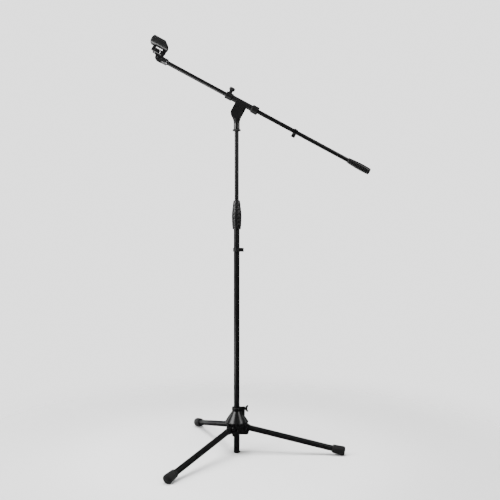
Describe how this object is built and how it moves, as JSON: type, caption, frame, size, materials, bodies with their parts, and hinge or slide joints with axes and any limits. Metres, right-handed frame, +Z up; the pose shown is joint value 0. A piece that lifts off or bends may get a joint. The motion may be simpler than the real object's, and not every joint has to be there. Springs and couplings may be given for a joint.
{
  "type": "boom microphone stand",
  "caption": "Folding tripod stand with a telescopic pole, a tilting and sliding boom arm and a spring microphone clip, all in black.",
  "frame": {"origin": "on the pole's axis, at the flat end of the pole's foot, which is level with the floor under the three rubber feet", "axes": "+Z up along the pole; -X towards the boom's microphone end, which lies in the XZ plane; +Y away from the side with the closed face of the tilt head"},
  "size_m": [0.8203, 0.7066, 1.5579],
  "materials": {
    "tube_black": "satin black powder coat",
    "hub_black": "semi-gloss moulded plastic",
    "plastic_black": "fine-textured moulded plastic",
    "clip_black": "satin moulded plastic",
    "rubber_black": "soft matt rubber",
    "steel": "bright zinc-plated steel",
    "dark_steel": "black oxide steel",
    "brass": "turned brass"
  },
  "bodies": {
    "pole": {"lower_tube": "tube_black", "pole_end_cap": "plastic_black", "clutch_body": "plastic_black", "clutch_collet": "plastic_black"},
    "pole_cable_clip": {"pole_cable_clip": "clip_black"},
    "clutch_grip": {"clutch_grip": "rubber_black"},
    "hub": {"hub_yoke": "hub_black", "hub_cone": "hub_black", "hub_clamp_pad": "brass", "leg_rivet_right": "dark_steel", "leg_rivet_left": "dark_steel", "leg_rivet_rear": "dark_steel"},
    "wing_bolt": {"wing_bolt": "plastic_black"},
    "leg_right": {"leg_tube_right": "tube_black", "leg_end_right": "plastic_black", "foot_right": "rubber_black"},
    "leg_left": {"leg_tube_left": "tube_black", "leg_end_left": "plastic_black", "foot_left": "rubber_black"},
    "leg_rear": {"leg_tube_rear": "tube_black", "leg_end_rear": "plastic_black", "foot_rear": "rubber_black"},
    "upper_pole": {"upper_tube": "tube_black", "upper_tube_guide": "plastic_black", "top_stud": "steel"},
    "lock_ring": {"lock_ring": "plastic_black"},
    "head": {"head_neck": "plastic_black"},
    "boom_holder": {"boom_clamp": "plastic_black", "friction_disc": "rubber_black", "tilt_bolt": "steel", "tilt_washer": "steel", "boom_clamp_pad": "brass"},
    "tilt_knob": {"tilt_knob": "plastic_black"},
    "thumb_knob": {"thumb_knob": "plastic_black"},
    "boom": {"boom_tube": "tube_black", "boom_stud": "steel", "boom_end_washer": "steel", "boom_grip": "rubber_black"},
    "boom_cable_clip": {"boom_cable_clip": "clip_black"},
    "clip_base": {"clip_base": "clip_black", "thread_insert": "brass", "clip_tilt_screw": "dark_steel"},
    "clip_stem": {"clip_stem": "clip_black", "jaw_pin": "dark_steel", "jaw_spring": "steel"},
    "jaw_front": {"clip_jaw_front": "clip_black"},
    "jaw_rear": {"clip_jaw_rear": "clip_black"}
  },
  "joints": [
    {"name": "pole_clip_slide", "type": "slide", "parent": "pole", "child": "pole_cable_clip", "axis": [0, 0, 1], "range_m": [-0.2, 0.06]},
    {"name": "clutch_turn", "type": "hinge", "parent": "pole", "child": "clutch_grip", "pos_m": [0, 0, 0.888], "axis": [0, 0, 1], "range_deg": [-90, 0]},
    {"name": "hub_slide", "type": "slide", "parent": "pole", "child": "hub", "axis": [0, 0, 1], "range_m": [-0.05, 0.3]},
    {"name": "wing_bolt_turn", "type": "hinge", "parent": "hub", "child": "wing_bolt", "pos_m": [0.035, 0, 0.165], "axis": [1, 0, 0], "range_deg": [-180, 0]},
    {"name": "leg_fold_right", "type": "hinge", "parent": "hub", "child": "leg_right", "pos_m": [0.03388, -0.00284, 0.093], "axis": [0.0837, 0.9965, 0], "range_deg": [0, 77.3]},
    {"name": "leg_fold_left", "type": "hinge", "parent": "hub", "child": "leg_left", "pos_m": [-0.0194, -0.02792, 0.093], "axis": [0.8211, -0.5707, 0], "range_deg": [0, 77.3]},
    {"name": "leg_fold_rear", "type": "hinge", "parent": "hub", "child": "leg_rear", "pos_m": [-0.01448, 0.03076, 0.093], "axis": [-0.9048, -0.4258, 0], "range_deg": [0, 77.3]},
    {"name": "height_slide", "type": "slide", "parent": "pole", "child": "upper_pole", "axis": [0, 0, 1], "range_m": [-0.22, 0.33]},
    {"name": "lock_ring_turn", "type": "hinge", "parent": "upper_pole", "child": "lock_ring", "pos_m": [0, 0, 1.203], "axis": [0, 0, 1], "continuous": true},
    {"name": "head_swivel", "type": "hinge", "parent": "upper_pole", "child": "head", "pos_m": [0, 0, 1.22], "axis": [0, 0, 1], "continuous": true},
    {"name": "boom_tilt", "type": "hinge", "parent": "head", "child": "boom_holder", "pos_m": [0, 0, 1.2685], "axis": [0, 1, 0], "range_deg": [-60, 61.7]},
    {"name": "tilt_knob_turn", "type": "hinge", "parent": "boom_holder", "child": "tilt_knob", "pos_m": [0, 0.025, 1.2685], "axis": [0, 1, 0], "range_deg": [-180, 0]},
    {"name": "thumb_knob_turn", "type": "hinge", "parent": "boom_holder", "child": "thumb_knob", "pos_m": [-0.01727, 0, 1.3556], "axis": [0.4741, 0, 0.8805], "range_deg": [-180, 0]},
    {"name": "boom_slide", "type": "slide", "parent": "boom_holder", "child": "boom", "axis": [-0.8805, 0, 0.4741], "range_m": [-0.22, 0.13]},
    {"name": "boom_clip_slide", "type": "slide", "parent": "boom", "child": "boom_cable_clip", "axis": [-0.8805, 0, 0.4741], "range_m": [-0.19, 0.02]},
    {"name": "clip_swivel", "type": "hinge", "parent": "boom", "child": "clip_base", "pos_m": [-0.26648, 0, 1.45912], "axis": [-0.8805, 0, 0.4741], "continuous": true},
    {"name": "clip_tilt", "type": "hinge", "parent": "clip_base", "child": "clip_stem", "pos_m": [-0.29113, 0, 1.47239], "axis": [0, 1, 0], "range_deg": [-75, 20]},
    {"name": "jaw_front_open", "type": "hinge", "parent": "clip_stem", "child": "jaw_front", "pos_m": [-0.29249, 0, 1.50152], "axis": [-0.8805, 0, 0.4741], "range_deg": [-15, 0], "stiffness_Nm_per_rad": 0.8, "springref_deg": 11.46},
    {"name": "jaw_rear_open", "type": "hinge", "parent": "clip_stem", "child": "jaw_rear", "pos_m": [-0.29249, 0, 1.50152], "axis": [-0.8805, 0, 0.4741], "range_deg": [0, 15], "stiffness_Nm_per_rad": 0.8, "springref_deg": -11.46}
  ],
  "couplings": [
    {"joint": "jaw_rear_open", "follows": "jaw_front_open", "ratio": -1}
  ]
}
